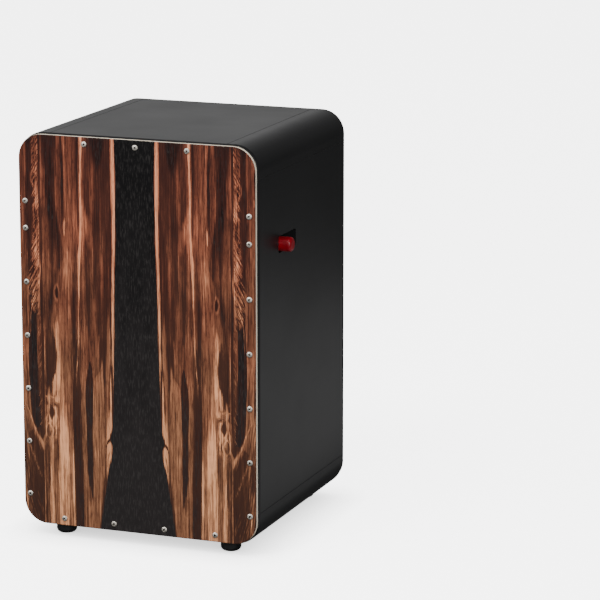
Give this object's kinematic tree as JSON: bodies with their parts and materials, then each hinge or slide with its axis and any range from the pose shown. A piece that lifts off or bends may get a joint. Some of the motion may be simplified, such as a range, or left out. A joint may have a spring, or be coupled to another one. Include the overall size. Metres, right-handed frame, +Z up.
{
  "type": "cajon",
  "caption": "Seated box drum with a screwed veneered playing plate, a pick-shaped sound hole in the rear and a sliding snare carriage moved by a side lever.",
  "frame": {"origin": "on the floor, at the centre of the four feet", "axes": "+Z up; the playing plate faces -Y and the sound hole +Y; the snare lever comes out on the +X side"},
  "size_m": [0.3145, 0.2972, 0.486],
  "materials": {
    "shell_lacquer": "satin black lacquer over wood",
    "rear_lacquer": "satin black lacquer over a thin panel",
    "plywood": "bare birch plywood, lightly lacquered edge",
    "veneer": "figured dark veneer, satin lacquer",
    "screw_steel": "nickel-plated, polished heads",
    "black_rubber": "matt moulded rubber",
    "red_rubber": "glossy moulded rubber",
    "rail_aluminium": "extruded, satin",
    "felt": "dense grey felt",
    "beech": "planed beech, unfinished",
    "plated_steel": "zinc-plated, brushed",
    "rod_steel": "ground steel rod",
    "black_oxide": "black oxide",
    "snare_steel": "bright spring steel"
  },
  "bodies": {
    "drum_body": {"top_panel": "shell_lacquer", "bottom_panel": "shell_lacquer", "left_panel": "shell_lacquer", "right_panel": "shell_lacquer", "corner_top_left": "shell_lacquer", "corner_top_right": "shell_lacquer", "corner_bottom_left": "shell_lacquer", "corner_bottom_right": "shell_lacquer", "front_plate": "plywood", "front_veneer": "veneer", "rear_panel": "rear_lacquer", "front_plate_screws": "screw_steel", "rear_panel_screws": "screw_steel", "foot_front_left": "black_rubber", "foot_front_right": "black_rubber", "foot_rear_left": "black_rubber", "foot_rear_right": "black_rubber", "foot_washers": "screw_steel", "foot_screws": "screw_steel", "guide_rail_left": "rail_aluminium", "guide_rail_right": "rail_aluminium", "guide_rail_screws": "screw_steel", "felt_liner_left": "felt", "felt_liner_right": "felt"},
    "snare_carriage": {"runner_left": "beech", "runner_right": "beech", "snare_bar": "beech", "snare_bar_screws": "screw_steel", "lever_bracket_left": "plated_steel", "lever_bracket_right": "plated_steel", "lever_bracket_screws": "screw_steel", "lever_rod": "rod_steel", "lever_cap": "red_rubber", "rod_collars": "plated_steel", "collar_set_screws": "black_oxide", "snare_end_plate_left": "snare_steel", "snare_end_plate_right": "snare_steel", "snare_clamp_left": "plated_steel", "snare_clamp_right": "plated_steel", "snare_clamp_screws": "screw_steel", "snare_wires_left": "snare_steel", "snare_wires_right": "snare_steel"}
  },
  "joints": [
    {"name": "snare_lever_slide", "type": "slide", "parent": "drum_body", "child": "snare_carriage", "axis": [0, 1, 0], "range_m": [0, 0.037]}
  ]
}
